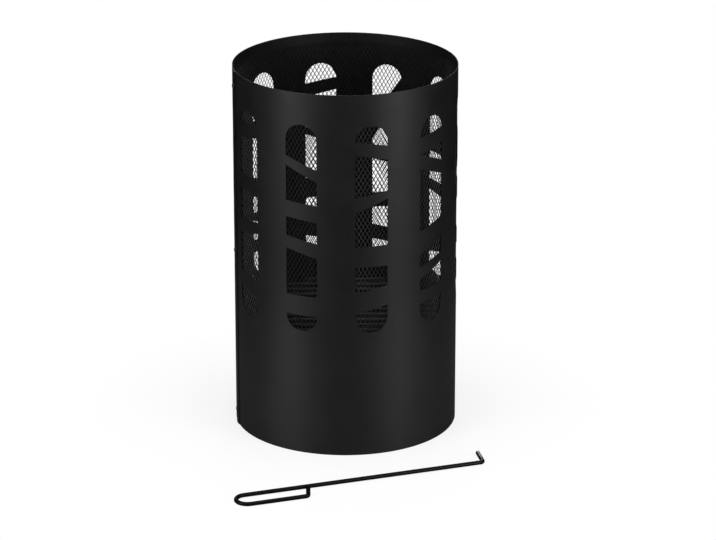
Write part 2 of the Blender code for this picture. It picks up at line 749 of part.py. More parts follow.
def make_poker(poker_paint):
    """The poker: one rod, bent to a long loop for the hand and to a hook at its far end."""
    radius = POKER_ROD / 2
    bearing = math.radians(POKER_AZIMUTH)
    along = Vector((math.cos(bearing), math.sin(bearing), 0))
    across = Vector((-along.y, along.x, 0))
    nearest = polar(WALL_RADIUS + POKER_STANDOFF, POKER_AZIMUTH, radius)
    start = nearest - along * POKER_SHAFT_BEHIND

    def spot(length, side):
        """The point that far along the shaft and to its side, towards the basket."""
        return start + along * length + across * side

    # The grip's second rod turns in and stops just short of the shaft
    turn = math.radians(POKER_RETURN_TURN)
    stop = radius * (1 + math.cos(turn)) + TOUCH_GAP
    lean = (POKER_GRIP_WIDTH - stop) / math.tan(turn)
    hook = math.radians(POKER_HOOK_TURN)
    corners = [
        spot(POKER_GRIP_LENGTH + lean, -stop),
        spot(POKER_GRIP_LENGTH, -POKER_GRIP_WIDTH),
        spot(-POKER_GRIP_WIDTH / 2, -POKER_GRIP_WIDTH),
        spot(-POKER_GRIP_WIDTH / 2, 0),
        spot(POKER_SHAFT, 0),
        spot(POKER_SHAFT + POKER_HOOK * math.cos(hook), POKER_HOOK * math.sin(hook)),
    ]
    hairpin = POKER_GRIP_WIDTH / 2 - TOUCH_GAP / 10
    bends = [POKER_BEND, hairpin, hairpin, POKER_BEND]
    path = bent_path(corners, bends, POKER_BEND_STEPS)
    lift = add_joint_empty("poker_lift", nearest)
    rod("poker", path, POKER_ROD, poker_paint, lift)


def main():
    clear_scene()
    paint = finish_material("black_heat_paint", (0.022, 0.022, 0.024), 0.55, 0.0)
    mesh_steel = finish_material("blackened_mesh", (0.030, 0.030, 0.032), 0.60, 0.3)
    screw_steel = finish_material("black_screw_steel", (0.020, 0.020, 0.021), 0.45, 0.6)
    nut_steel = finish_material("black_nut_steel", (0.024, 0.024, 0.025), 0.45, 0.6)
    pan_steel = finish_material("black_pan_steel", (0.028, 0.028, 0.030), 0.50, 0.2)
    rod_steel = finish_material("pan_handle_steel", (0.030, 0.030, 0.031), 0.45, 0.4)
    grate_steel = finish_material("grate_steel", (0.035, 0.034, 0.033), 0.60, 0.5)
    poker_paint = finish_material("poker_paint", (0.018, 0.018, 0.019), 0.40, 0.0)
    make_basket(paint, mesh_steel, screw_steel, nut_steel)
    make_ash_pan(pan_steel, rod_steel)
    make_grate(grate_steel)
    make_poker(poker_paint)


main()
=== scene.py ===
# %% [markdown]
# # A round steel fire basket and its poker
#
# The real object is a tube rolled from one sheet of steel. Ten columns of windows are cut out of
# it, each crossed by slanted slats, and a liner of expanded metal behind them keeps the sparks in.
# Inside stand an ash pan and a grate of welded rods, and a poker bent from one rod lies in front.
#
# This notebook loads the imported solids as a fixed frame, and then builds the shapes and finishes
# that the eye sees around them, one step at a time. Lengths are in metres and +Z is up.

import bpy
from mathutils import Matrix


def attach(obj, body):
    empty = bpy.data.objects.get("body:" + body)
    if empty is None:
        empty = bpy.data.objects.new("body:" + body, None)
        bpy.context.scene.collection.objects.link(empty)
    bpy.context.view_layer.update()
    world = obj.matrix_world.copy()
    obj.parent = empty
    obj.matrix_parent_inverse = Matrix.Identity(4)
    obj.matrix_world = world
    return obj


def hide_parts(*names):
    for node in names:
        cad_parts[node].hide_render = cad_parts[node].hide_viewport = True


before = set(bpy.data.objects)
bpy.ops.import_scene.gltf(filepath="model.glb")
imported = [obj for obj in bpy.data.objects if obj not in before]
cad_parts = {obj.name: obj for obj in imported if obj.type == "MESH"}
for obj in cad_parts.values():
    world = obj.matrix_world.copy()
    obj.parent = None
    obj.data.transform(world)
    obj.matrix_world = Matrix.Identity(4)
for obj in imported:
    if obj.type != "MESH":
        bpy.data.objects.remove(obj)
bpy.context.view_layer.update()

# %% Tools that every step uses
import math

import bmesh
import bpy
from mathutils import Matrix, Vector, noise

scene = bpy.context.scene
MM = 0.001

# %% [markdown]
# ## The camera
#
# The photograph was taken from about five metres away with a long lens, a little from above, so
# that both rims look like narrow ellipses. A long lens far away and a wide lens nearby can frame
# an object alike, but only the right distance gives both rims their right opening. Distance,
# height and focal length here were worked out from the rims and the sides of the tube.

# %% Camera
camera_data = bpy.data.cameras.new("camera")
camera_data.sensor_width = 36.0
camera_data.lens = 169.92
camera = bpy.data.objects.new("camera", camera_data)
camera.location = (0.0, -5.1673, 2.10715)
camera.rotation_euler = (math.radians(70.234), 0.0, math.radians(-0.225))
scene.collection.objects.link(camera)
scene.camera = camera
print("camera distance:", round(camera.location.length, 2), "m")

# %% [markdown]
# ## Nodes and colours
#
# A colour picked on a screen is an sRGB value, and Blender's shaders reckon in linear light, so
# each hex value passes through one function. A second small function adds a shader node, sets
# its values and links its inputs, which keeps each material down to a short list of nodes. A
# third asks the Light Path node what kind of ray is at work, for the world and for the floor.

# %% Colour and node helpers
def linear(hex_colour):
    """Linear (r, g, b, 1) from an sRGB hex value such as "1A1B1D"."""
    shares = [int(hex_colour[i : i + 2], 16) / 255 for i in (0, 2, 4)]
    light = [c / 12.92 if c <= 0.04045 else ((c + 0.055) / 1.055) ** 2.4 for c in shares]
    return (*light, 1.0)


def add_node(tree, kind, values=None, links=None, **settings):
    """Adds a node, sets its properties and socket values, and links its inputs."""
    node = tree.nodes.new(kind)
    for name, value in settings.items():
        setattr(node, name, value)
    for socket, value in (values or {}).items():
        node.inputs[socket].default_value = value
    for socket, source in (links or {}).items():
        tree.links.new(source, node.inputs[socket])
    return node


def ray_kinds(tree):
    """Two sockets: 1 for what the camera sees, also through things, and 1 for reflected rays."""
    path = add_node(tree, "ShaderNodeLightPath")
    seen = add_node(
        tree, "ShaderNodeMath", operation="MAXIMUM",
        links={0: path.outputs["Is Camera Ray"], 1: path.outputs["Is Transmission Ray"]},
    )
    return seen.outputs[0], path.outputs["Is Glossy Ray"]


WHITE = (1.0, 1.0, 1.0, 1.0)
print("mid grey 808080 is", round(linear("808080")[0], 3), "in linear light")

# %% [markdown]
# ## Background, floor and light
#
# The background is plain white, but white from every side would wash out black paint. The Light
# Path node tells what kind of ray asks for a colour. A camera ray sees white, and so does a ray
# that has passed through something. The rays that light the object find a soft grey, and a
# reflected ray finds a dimmed sky. Of the floor it sees a faint grey paper that fades to black a
# stride away from the basket. This is a painted pool of light, standing in for a studio whose
# lamps light only the paper nearby, and it is what gives black paint its depth. For the camera the
# floor keeps a part of its own shading, so the basket still has a shadow to stand on.

# %% World
world = bpy.data.worlds.new("studio")
scene.world = world
world.use_nodes = True
tree = world.node_tree
tree.nodes.clear()
seen, reflected = ray_kinds(tree)
soft_grey = add_node(tree, "ShaderNodeBackground", {"Color": linear("F4F6FA"), "Strength": 0.35})
dim_sky = add_node(tree, "ShaderNodeBackground", {"Color": linear("F4F6FA"), "Strength": 0.19})
backdrop = add_node(tree, "ShaderNodeBackground", {"Color": WHITE, "Strength": 1.0})
light = add_node(
    tree, "ShaderNodeMixShader",
    links={0: reflected, 1: soft_grey.outputs[0], 2: dim_sky.outputs[0]},
)
view = add_node(
    tree, "ShaderNodeMixShader",
    links={0: seen, 1: light.outputs[0], 2: backdrop.outputs[0]},
)
add_node(tree, "ShaderNodeOutputWorld", links={"Surface": view.outputs[0]})
print("world:", world.name, "with", len(tree.nodes), "nodes")

# %% Floor
FLOOR_REACH = 14.0
square = [(-1, -1), (1, -1), (1, 1), (-1, 1)]
corners = [(FLOOR_REACH * x, FLOOR_REACH * y, 0) for x, y in square]
floor_mesh = bpy.data.meshes.new("floor")
floor_mesh.from_pydata(corners, [], [(0, 1, 2, 3)])
floor = bpy.data.objects.new("floor", floor_mesh)
scene.collection.objects.link(floor)
floor.location.z = -0.2 * MM  # just clear of the underside that stands on it

paper = bpy.data.materials.new("white_paper_floor")
paper.use_nodes = True
tree = paper.node_tree
tree.nodes.clear()
seen, reflected = ray_kinds(tree)
place = add_node(tree, "ShaderNodeTexCoord")
distance = add_node(
    tree, "ShaderNodeVectorMath", None, {0: place.outputs["Object"]}, operation="LENGTH"
)
# a painted pool of light: to reflected rays the paper is faint grey near the basket and black
# beyond 1.1 m
painted_light_pool = add_node(  # how pale the paper is to a reflected ray
    tree, "ShaderNodeMapRange",
    {"From Min": 0.6, "From Max": 1.1, "To Min": 0.14, "To Max": 0.0},
    {"Value": distance.outputs["Value"]},
)
whiteness = add_node(  # how far the paper is plain white to the camera
    tree, "ShaderNodeMapRange",
    {"From Min": 0.18, "From Max": 0.46, "To Min": 0.76, "To Max": 1.0},
    {"Value": distance.outputs["Value"]},
)
share = add_node(
    tree, "ShaderNodeMath", operation="MULTIPLY",
    links={0: seen, 1: whiteness.outputs["Result"]},
)
lit = add_node(tree, "ShaderNodeBsdfDiffuse", {"Color": linear("F4F4F2")})
plain = add_node(tree, "ShaderNodeEmission", {"Color": WHITE, "Strength": 1.0})
mirrored = add_node(tree, "ShaderNodeBsdfDiffuse", None, {"Color": painted_light_pool.outputs["Result"]})
direct = add_node(
    tree, "ShaderNodeMixShader",
    links={0: share.outputs[0], 1: lit.outputs[0], 2: plain.outputs[0]},
)
surface = add_node(
    tree, "ShaderNodeMixShader",
    links={0: reflected, 1: direct.outputs[0], 2: mirrored.outputs[0]},
)
add_node(tree, "ShaderNodeOutputMaterial", links={"Surface": surface.outputs[0]})
floor_mesh.materials.append(paper)
print("floor", 2 * FLOOR_REACH, "m wide")

# %% [markdown]
# Two softboxes stand on the floor, left and right in front of the basket. A light shows in a
# cylinder where the surface faces halfway between it and the camera, so lights at about 50 degrees
# give the two soft upright bands at about 26 degrees to either side, as in the photograph. Seen
# from above, the foot of the wall reflects the floor rather than the softboxes, so a small strip
# light low down at either side carries each band on to the ground. A narrow spread, like that of
# a honeycomb grid, keeps it off the upper wall. A third softbox stands behind, so that the back
# has its own band, and the last hangs above and opens up the inside. The camera doesn't see them.

# %% Lamps
def add_softbox(name, azimuth, distance, height, aim, size, power, spread=180):
    """An area light at an azimuth from the front, aimed at a height on the basket's axis.

    The size is its width and height in metres, the power is in watts and the spread in degrees.
    """
    data = bpy.data.lights.new(name, "AREA")
    data.shape = "RECTANGLE"
    data.size, data.size_y = size
    data.energy = power
    data.spread = math.radians(spread)
    lamp = bpy.data.objects.new(name, data)
    scene.collection.objects.link(lamp)
    angle = math.radians(azimuth)
    lamp.location = (distance * math.sin(angle), -distance * math.cos(angle), height)
    direction = Vector((0, 0, aim)) - lamp.location
    lamp.rotation_euler = direction.to_track_quat("-Z", "Y").to_euler()
    lamp.visible_camera = False


add_softbox("softbox_left", -51, 1.9, 0.62, 0.5, (0.42, 1.2), 16)
add_softbox("softbox_right", 50, 1.9, 0.62, 0.5, (0.45, 1.2), 18)
add_softbox("softbox_behind", 180, 1.9, 0.42, 0.4, (0.60, 0.8), 13)
add_softbox("overhead", 0, 0.4, 2.8, 0.4, (1.6, 1.6), 38)
add_softbox("strip_left", -52, 0.9, 0.08, 0.0, (0.28, 0.12), 0.11, spread=46)
add_softbox("strip_right", 50, 0.9, 0.08, 0.0, (0.28, 0.12), 0.09, spread=46)

# %% [markdown]
# ## Matt black heat paint
#
# The sheet is sprayed with a silicone heat paint and baked. It is a soot-black that still
# reflects a little light, in a soft broad sheen. Close up it has a fine grit, like very fine
# sandpaper. Its real grain is about 0.1 mm, which is too fine to show, so it is drawn at 0.8 mm.
# A cloudy change of colour and roughness, some 40 mm wide, stands for where the spray lay thicker.

# %% Heat paint
def start_material(name, hex_colour, metallic, roughness, specular):
    """A Principled material with constant values. The first colour also shows in the viewport."""
    material = bpy.data.materials.new(name)
    material.use_nodes = True
    shader = material.node_tree.nodes["Principled BSDF"]
    shader.inputs["Base Color"].default_value = linear(hex_colour)
    shader.inputs["Metallic"].default_value = metallic
    shader.inputs["Roughness"].default_value = roughness
    shader.inputs["Specular IOR Level"].default_value = specular
    material.diffuse_color = linear(hex_colour)
    return material, material.node_tree, shader


def mottle(tree, shader, dark, pale, cloud_mm, grit_mm, roughness, bump):
    """Clouds between two close colours and two roughnesses, over a fine bumpy grit."""
    place = add_node(tree, "ShaderNodeTexCoord")
    clouds = add_node(
        tree, "ShaderNodeTexNoise",
        {"Scale": 1 / (cloud_mm * MM), "Detail": 4.0, "Roughness": 0.6},
        {"Vector": place.outputs["Object"]},
    )
    tint = add_node(
        tree, "ShaderNodeMix", data_type="RGBA", links={"Factor": clouds.outputs["Fac"]}
    )
    tint.inputs[6].default_value = linear(dark)  # 6 and 7 are the colours that it mixes
    tint.inputs[7].default_value = linear(pale)
    tree.links.new(tint.outputs[2], shader.inputs["Base Color"])
    rough = add_node(
        tree, "ShaderNodeMapRange",
        {"From Min": 0.3, "From Max": 0.7, "To Min": roughness[0], "To Max": roughness[1]},
        {"Value": clouds.outputs["Fac"]},
    )
    tree.links.new(rough.outputs["Result"], shader.inputs["Roughness"])
    grit = add_node(
        tree, "ShaderNodeTexNoise",
        {"Scale": 1 / (grit_mm * MM), "Detail": 2.0},
        {"Vector": place.outputs["Object"]},
    )
    relief = add_node(
        tree, "ShaderNodeBump",
        {"Strength": bump, "Distance": 0.1 * MM},
        {"Height": grit.outputs["Fac"]},
    )
    tree.links.new(relief.outputs["Normal"], shader.inputs["Normal"])


heat_paint, tree, shader = start_material("matt_black_heat_paint", "0F0F10", 0.0, 0.50, 0.30)
mottle(tree, shader, "0C0C0D", "121213", 40, 0.8, (0.46, 0.54), 0.6)
print("made", heat_paint.name)

# %% [markdown]
# ## The other finishes
#
# The mesh was slit and stretched before it was dipped in the same black paint, so it is a little
# shinier along its strands. The pan is sheet in a satin black. The grate's rods are hot rolled:
# a dark scale covers them, and it has rubbed off to brown in places. The fasteners are steel,
# blackened in an oxide bath, which stays a metal to the eye. The poker has a smooth satin powder
# coat, the deepest black of them all, which reflects very little.

# %% Mesh, pan, rods, fasteners and poker
mesh_paint, tree, shader = start_material("black_dipped_expanded_steel", "101011", 0.0, 0.55, 0.4)
mottle(tree, shader, "0E0E0F", "141415", 25, 1.0, (0.50, 0.60), 0.4)

pan_paint, tree, shader = start_material("satin_black_pan_sheet", "151516", 0.0, 0.42, 0.5)
mottle(tree, shader, "121213", "18181A", 30, 0.9, (0.36, 0.46), 0.4)

rod_scale, tree, shader = start_material("hot_rolled_rod_scale", "1E1E20", 0.4, 0.60, 0.3)
mottle(tree, shader, "1A1B1D", "292523", 9, 0.7, (0.50, 0.68), 0.8)

black_oxide, tree, shader = start_material("black_oxide_steel", "2C2C2E", 0.85, 0.38, 0.5)
mottle(tree, shader, "28282A", "343436", 4, 0.5, (0.32, 0.44), 0.15)

powder_coat, tree, shader = start_material("satin_black_powder_coat", "060606", 0.0, 0.42, 0.10)
mottle(tree, shader, "050505", "080808", 12, 0.9, (0.37, 0.46), 0.12)
print("materials:", [m.name for m in bpy.data.materials])

# %% [markdown]
# ## Making pieces
#
# Each piece that is built here stands for one or more of the imported solids. It rides on the same
# body, so it moves as they do, and it gets the finish that is passed to it. One function does all
# of that. Others turn a bmesh into a mesh that is smooth on its curves and crisp at its edges.

# %% Piece helpers
def polar(radius, azimuth, z=0.0):
    """The point at a radius, an azimuth in degrees from the front, and a height."""
    angle = math.radians(azimuth)
    return Vector((radius * math.sin(angle), -radius * math.cos(angle), z))


def shade(mesh, sharp_angle=32.0):
    """Shades a mesh smooth where its faces meet at less than an angle in degrees."""
    mesh.shade_smooth()
    mesh.set_sharp_from_angle(angle=math.radians(sharp_angle))
    return mesh


def smooth_mesh(bm, name, sharp_angle=32.0):
    """Turns a bmesh into a mesh with outward faces, smooth on its curves."""
    bmesh.ops.recalc_face_normals(bm, faces=bm.faces)
    mesh = bpy.data.meshes.new(name)
    bm.to_mesh(mesh)
    bm.free()
    return shade(mesh, sharp_angle)


def add_piece(name, data, material, body, slot, *nodes):
    """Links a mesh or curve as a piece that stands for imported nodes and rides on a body."""
    piece = bpy.data.objects.new(name, data)
    scene.collection.objects.link(piece)
    data.materials.clear()
    data.materials.append(material)
    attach(piece, body)
    if nodes:
        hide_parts(*nodes)
    return piece


print("helpers ready")

# %% [markdown]
# ## The wall
#
# The wall is cut flat and rolled afterwards, and it is easiest to draw in the same order. A flat
# sheet made of narrow strips gets its windows cut out with Boolean cutters, straight through, and
# then each vertex is wound round the axis: how far it lies along the sheet becomes its azimuth.
# The strips are one degree wide, which is round enough for any view. Cutting a finished tube
# instead would need cutters that fan out, and would leave slanted cut edges.
#
# The slats are given as in the solids: how far up the window each one's lower and upper edge is,
# in percent, at the window's left side and then at its right side.

# %% Sizes of the wall
WALL_RADIUS = 180 * MM
WALL_HEIGHT = 600 * MM
SHEET = 1.2 * MM  # thickness of the wall, and of the base plate and the pan as well
STRIPS = 360
LEAF_STEP = 1.5 * MM  # how far out the outer leaf lies on the inner one at the seam
SEAM_LAP = 15 * MM
SEAM_AZIMUTH = -76.8
SCREW_HEIGHTS = (25 * MM, 300 * MM, 575 * MM)
SCREW_HOLE_RADIUS = 2.8 * MM
WINDOW_WIDTH = 52.5 * MM
WINDOW_BOTTOM = 207.5 * MM
WINDOW_TOP = 549 * MM
FRONT_COLUMN = 13.2
COLUMN_ORDER = "CDEAECDBAB"
SLATS = {
    "A": [
        ((13.9, 20.7), (10.5, 19.1)),
        ((39.4, 46.6), (42.3, 47.6)),
        ((61.6, 69.0), (61.6, 67.1)),
        ((85.7, 93.9), (88.6, 94.4)),
    ],
    "B": [
        ((7.8, 17.5), (7.6, 17.0)),
        ((40.0, 46.1), (36.1, 43.2)),
        ((55.2, 63.0), (53.6, 61.7)),
        ((80.0, 84.7), (73.0, 78.6)),
    ],
    "C": [
        ((9.5, 19.5), (13.2, 22.7)),
        ((32.4, 41.9), (32.4, 42.5)),
        ((58.5, 65.7), (64.9, 68.6)),
        ((86.6, 92.7), (83.5, 90.2)),
    ],
    "D": [
        ((10.1, 16.3), (11.6, 17.7)),
        ((22.0, 28.0), (27.7, 32.0)),
        ((33.9, 45.4), (40.0, 49.5)),
        ((75.7, 82.9), (70.4, 76.9)),
        ((82.9, 90.7), (85.7, 93.0)),
    ],
    "E": [
        ((9.5, 16.8), (11.0, 18.3)),
        ((29.4, 37.3), (27.1, 34.4)),
        ((49.9, 56.4), (52.0, 59.3)),
        ((85.7, 94.7), (62.2, 73.4)),
    ],
}
ROUND = math.tau * WALL_RADIUS
JOGGLE = ROUND / STRIPS  # length over which the sheet steps out before the seam
print("sheet:", round(ROUND + SEAM_LAP, 4), "m long,", sum(map(len, SLATS.values())), "slats")

# %% Outlines of the openings
def opening_limits(x, lower, upper):
    """(lowest, highest) point of an opening at x, inside the window's round ends."""
    cap = WINDOW_WIDTH / 2
    rise = cap - math.sqrt(max(0.0, cap * cap - x * x))
    low, high = WINDOW_BOTTOM + rise, WINDOW_TOP - rise
    share = x / WINDOW_WIDTH + 0.5
    tall = (WINDOW_TOP - WINDOW_BOTTOM) / 100
    if lower:
        low = max(low, WINDOW_BOTTOM + tall * (lower[0] + (lower[1] - lower[0]) * share))
    if upper:
        high = min(high, WINDOW_BOTTOM + tall * (upper[0] + (upper[1] - upper[0]) * share))
    return low, high


def opening_outline(lower, upper, steps=72):
    """Points round one opening, x from the window's middle and z from the ground."""
    places = [-WINDOW_WIDTH / 2 * math.cos(math.pi * i / steps) for i in range(steps + 1)]
    gaps = [(x, *opening_limits(x, lower, upper)) for x in places]
    shown = [gap for gap in gaps if gap[2] - gap[1] > 0.2 * MM]
    return [(x, low) for x, low, high in shown] + [(x, high) for x, low, high in shown[::-1]]


def column_outlines(slats):
    """The outlines of one column's openings, from the bottom up."""
    lower = [None] + [(left[1], right[1]) for left, right in slats]
    upper = [(left[0], right[0]) for left, right in slats] + [None]
    return [opening_outline(*pair) for pair in zip(lower, upper)]


print("openings in column A:", len(column_outlines(SLATS["A"])))

# %% Flat sheet and its cutters
def flat_sheet():
    """A closed slab of upright strips: x along the sheet, y through it, z up it."""
    places = [ROUND * i / STRIPS for i in range(STRIPS)]
    places += [ROUND - JOGGLE * share for share in (0.75, 0.5, 0.25, 0.0)]
    places += [ROUND + SEAM_LAP * i / 5 for i in range(1, 6)]
    bm = bmesh.new()
    rows = []
    for x in places:
        corners = [(x, 0, 0), (x, 0, WALL_HEIGHT), (x, SHEET, WALL_HEIGHT), (x, SHEET, 0)]
        rows.append([bm.verts.new(corner) for corner in corners])
    for row, following in zip(rows, rows[1:]):
        for i in range(4):
            j = (i + 1) % 4
            bm.faces.new((row[i], row[j], following[j], following[i]))
    bm.faces.new(rows[0])
    bm.faces.new(rows[-1])
    return smooth_mesh(bm, "flat_sheet")


def flat_cutters():
    """Straight prisms for all openings and for the screw holes in both leaves of the seam."""
    outlines = []
    for column, pattern in enumerate(COLUMN_ORDER):
        azimuth = FRONT_COLUMN + 360 / len(COLUMN_ORDER) * column - SEAM_AZIMUTH
        middle = (math.radians(azimuth) % math.tau) * WALL_RADIUS + SEAM_LAP / 2
        for outline in column_outlines(SLATS[pattern]):
            outlines.append([(middle + x, z) for x, z in outline])
    turns = [math.tau * i / 24 for i in range(24)]
    ring = [(SCREW_HOLE_RADIUS * math.cos(t), SCREW_HOLE_RADIUS * math.sin(t)) for t in turns]
    for middle in (SEAM_LAP / 2, ROUND + SEAM_LAP / 2):
        for z in SCREW_HEIGHTS:
            outlines.append([(middle + a, z + b) for a, b in ring])
    bm = bmesh.new()
    for outline in outlines:
        near = [bm.verts.new((x, -3 * MM, z)) for x, z in outline]
        far = [bm.verts.new((x, 4 * MM, z)) for x, z in outline]
        bm.faces.new(near[::-1])
        bm.faces.new(far)
        for i in range(len(outline)):
            j = (i + 1) % len(outline)
            bm.faces.new((near[i], near[j], far[j], far[i]))
    return smooth_mesh(bm, "flat_cutters"), len(outlines)


def cut_mesh(mesh, cutter_mesh):
    """Cuts one mesh out of another with an exact Boolean and returns what is left."""
    thing = bpy.data.objects.new("to_cut", mesh)
    tool = bpy.data.objects.new("cutter", cutter_mesh)
    scene.collection.objects.link(thing)
    scene.collection.objects.link(tool)
    boolean = thing.modifiers.new("cut", "BOOLEAN")
    boolean.operation = "DIFFERENCE"
    boolean.solver = "EXACT"
    boolean.object = tool
    ready = thing.evaluated_get(bpy.context.evaluated_depsgraph_get())
    left = bpy.data.meshes.new_from_object(ready)
    bpy.data.objects.remove(thing)
    bpy.data.objects.remove(tool)
    return left


cutters, count = flat_cutters()
sheet = cut_mesh(flat_sheet(), cutters)
print(count, "holes cut;", len(sheet.vertices), "vertices in the flat sheet")

# %% [markdown]
# Rolling turns the flat sheet into the tube. Over the last few millimetres before the seam the
# sheet steps out by a little more than its own thickness, so that its end lies on its beginning.
# A smooth step is what a press tool leaves.

# %% Roll the sheet up
def roll(along, depth, z):
    """Where a point of the flat sheet goes in the rolled tube."""
    share = min(1.0, max(0.0, (along - ROUND + JOGGLE) / JOGGLE))
    step = LEAF_STEP * share * share * (3 - 2 * share)
    azimuth = SEAM_AZIMUTH + math.degrees((along - SEAM_LAP / 2) / WALL_RADIUS)
    return polar(WALL_RADIUS - depth + step, azimuth, z)


for vertex in sheet.vertices:
    vertex.co = roll(*vertex.co)
shade(sheet)
sheet.name = "wall"
add_piece("wall", sheet, heat_paint, "basket", "black_heat_paint", "outer_wall")
print("wall:", len(sheet.polygons), "faces")

# %% [markdown]
# ## The mesh liner
#
# Expanded metal is sheet that is slit in short rows and pulled apart, which opens each slit to
# a diamond, here about 7 mm wide and 12 mm high. Each strand is drawn with a ridge in front and
# one behind, so that its slopes catch light from different sides, as the twisted strands of the
# real mesh do. It is built straight on the cylinder, because a Wireframe modifier on a net of
# diamonds would make half as many faces again.

# %% Build the liner
LINER_RADIUS = 178.1 * MM
DIAMOND_WIDTH, DIAMOND_HEIGHT = 6.8 * MM, 11.8 * MM
STRAND_WIDTH = 1.15 * MM
STRAND_DEPTH = 1.0 * MM
LINER_LOW, LINER_HIGH = 190 * MM, 585 * MM
LINER_OPENING = 15 * MM  # left open along the seam, for the nuts


def build_liner():
    """A net of diamonds round the axis, with shared corners and ridged strands."""
    arc = math.tau * LINER_RADIUS - LINER_OPENING
    columns = round(arc / DIAMOND_WIDTH)
    rows = round((LINER_HIGH - LINER_LOW) / DIAMOND_HEIGHT - 0.5)
    wide, high = arc / columns, (LINER_HIGH - LINER_LOW) / (rows + 0.5)
    start = SEAM_AZIMUTH + math.degrees(LINER_OPENING / 2 / LINER_RADIUS)
    side = math.hypot(wide, high) / 2
    inset_x, inset_z = STRAND_WIDTH * side / high, STRAND_WIDTH * side / wide

    def place(i, z, depth):
        azimuth = start + math.degrees(i * wide / LINER_RADIUS)
        return polar(LINER_RADIUS - depth, azimuth, z)

    bm = bmesh.new()
    known = {}

    def corner(i, j, depth):
        key = (i, j, depth)
        if key not in known:
            known[key] = bm.verts.new(place(i / 2, LINER_LOW + j * high / 2, depth))
        return known[key]

    for i in range(1, 2 * columns):
        for j in range(1, 2 * rows + 1):
            if (i + j) % 2:
                continue
            around = [(i - 1, j), (i, j - 1), (i + 1, j), (i, j + 1)]
            front = [corner(a, b, 0.0) for a, b in around]
            back = [corner(a, b, STRAND_DEPTH) for a, b in around]
            z = LINER_LOW + j * high / 2
            x, half = i / 2, high / 2
            # the hole's corners lie at different depths, which twists the strands
            inner = [
                bm.verts.new(place(x - 0.5 + inset_x / wide, z, STRAND_DEPTH / 2)),
                bm.verts.new(place(x, z - half + inset_z, STRAND_DEPTH * 0.3)),
                bm.verts.new(place(x + 0.5 - inset_x / wide, z, STRAND_DEPTH / 2)),
                bm.verts.new(place(x, z + half - inset_z, STRAND_DEPTH * 0.7)),
            ]
            for k in range(4):
                n = (k + 1) % 4
                bm.faces.new((front[k], front[n], inner[n], inner[k]))
                bm.faces.new((inner[k], inner[n], back[n], back[k]))
    return bm, columns, rows


liner_bm, columns, rows = build_liner()
liner = add_piece(
    "mesh_liner_net", smooth_mesh(liner_bm, "mesh_liner_net", 20), mesh_paint,
    "basket", "blackened_mesh", "mesh_liner",
)
print("liner:", columns, "diamonds round and", rows, "up,", len(liner.data.polygons), "faces")

# %% [markdown]
# ## Base plate and ash pan
#
# Both are pressed from sheet, so their section is one line of even thickness. The line is drawn
# from the middle outwards, with arcs at its bends, then given its thickness to both sides and
# spun round the axis. The pan's edge is rolled down to a thin bead, so that it can't cut a hand.

# %% Sheet sections spun round the axis
def arc(centre, radius, first, last, steps):
    """Points of an arc in the plane of a section, ends included, angles in degrees."""
    turns = [math.radians(first + (last - first) * i / steps) for i in range(steps + 1)]
    return [
        Vector((centre[0] + radius * math.cos(t), centre[1] + radius * math.sin(t)))
        for t in turns
    ]


def thicken(line, thickness):
    """A closed outline that runs along both sides of a line."""
    left, right = [], []
    for i, point in enumerate(line):
        before = (point - line[i - 1]).normalized() if i else None
        after = (line[i + 1] - point).normalized() if i < len(line) - 1 else before
        before = before or after
        middle = (before + after).normalized()
        reach = thickness / 2 / max(0.3, middle.dot(after))
        out = Vector((middle.y, -middle.x)) * reach
        left.append(point - out)
        right.append(point + out)
    return right + left[::-1]


def spin(outline, steps):
    """Spins an outline of (radius, z) points round the Z axis."""
    bm = bmesh.new()
    points = [bm.verts.new((max(0.0, p[0]), 0.0, p[1])) for p in outline]
    edges = [bm.edges.new(pair) for pair in zip(points, points[1:])]
    if outline[0][0] > 1e-6:
        edges.append(bm.edges.new((points[-1], points[0])))
    bmesh.ops.spin(
        bm, geom=points + edges, axis=(0, 0, 1), cent=(0, 0, 0),
        angle=math.tau, steps=steps, use_merge=True,
    )
    bmesh.ops.remove_doubles(bm, verts=bm.verts, dist=1e-6)
    return bm


BASE_RADIUS = 178.2 * MM
BASE_TOP = 35 * MM
BASE_BEND = 4 * MM
base_wall = BASE_RADIUS - SHEET / 2
base_line = [Vector((0, SHEET / 2))]
base_line += arc((base_wall - BASE_BEND, SHEET / 2 + BASE_BEND), BASE_BEND, -90, 0, 8)
base_line += [Vector((base_wall, BASE_TOP))]
base_mesh = smooth_mesh(spin(thicken(base_line, SHEET), 180), "base")
add_piece("base", base_mesh, heat_paint, "basket", "black_heat_paint", "base_plate")

PAN_WALL = 151.53 * MM  # radius of the middle of the pan's sheet
PAN_FLOOR = 2.1 * MM  # height of the middle of its floor
PAN_TOP = 40.9 * MM
PAN_RIM = 162.1 * MM
PAN_BEND, LIP_BEND, BEAD_BEND = 5.4 * MM, 1.8 * MM, 1.6 * MM
bead_centre = (PAN_RIM - BEAD_BEND - SHEET / 2, PAN_TOP - BEAD_BEND)
pan_line = [Vector((0, PAN_FLOOR))]
pan_line += arc((PAN_WALL - PAN_BEND, PAN_FLOOR + PAN_BEND), PAN_BEND, -90, 0, 8)
pan_line += arc((PAN_WALL + LIP_BEND, PAN_TOP - LIP_BEND), LIP_BEND, 180, 90, 5)
pan_line += arc(bead_centre, BEAD_BEND, 90, -150, 10)
pan_mesh = smooth_mesh(spin(thicken(pan_line, SHEET), 180), "pan")
add_piece("pan", pan_mesh, pan_paint, "ash_pan", "black_pan_steel", "ash_pan")
print("base", len(base_mesh.polygons), "faces, pan", len(pan_mesh.polygons), "faces")

# %% [markdown]
# ## Bent rods
#
# Grate, lifting hoops and poker are all round rod. A curve with a round bevel is the natural tool:
# its points run along the middle of the rod, and each corner is rounded to the bend's radius. The
# first and last point are a little thinner, which chamfers the ends as a file would. Frames and
# hoops are all the same upside-down U, so they share one function.

# %% Rod helpers
HOOP_BEND = 15 * MM


